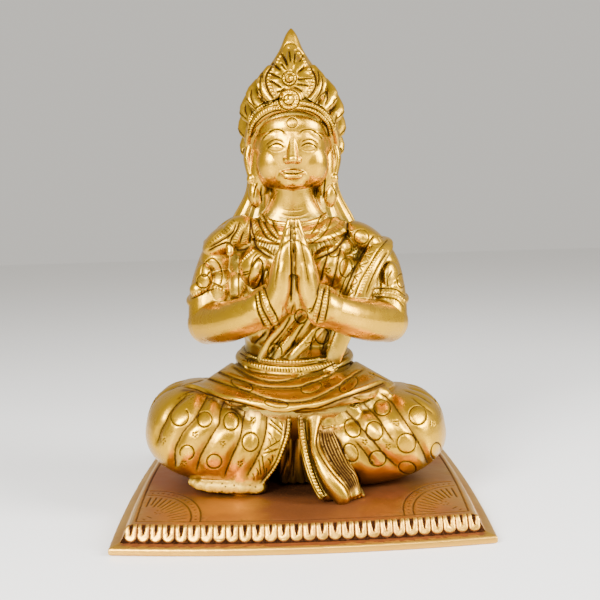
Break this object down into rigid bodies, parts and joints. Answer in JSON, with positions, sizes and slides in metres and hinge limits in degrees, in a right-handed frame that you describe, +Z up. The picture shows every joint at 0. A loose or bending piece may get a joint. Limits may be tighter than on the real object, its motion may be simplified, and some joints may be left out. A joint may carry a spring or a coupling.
{
  "type": "seated prayer figure on a plinth",
  "caption": "Cast brass statue of a crowned, seated figure with palms pressed together, on a square plinth with a petal border",
  "frame": {"origin": "middle of the plinth's underside, on the surface that the statue stands on", "axes": "+Z up, -Y the way the figure faces, +X to the viewer's right"},
  "size_m": [0.206, 0.214, 0.282],
  "materials": {
    "polished_brass": "hand-polished cast brass with dark patina left in the chasing",
    "aged_brass": "cast brass plate, worn bright on its edges and brown on its flat top"
  },
  "bodies": {
    "root": {"figure": "polished_brass", "plinth": "aged_brass"}
  },
  "joints": []
}
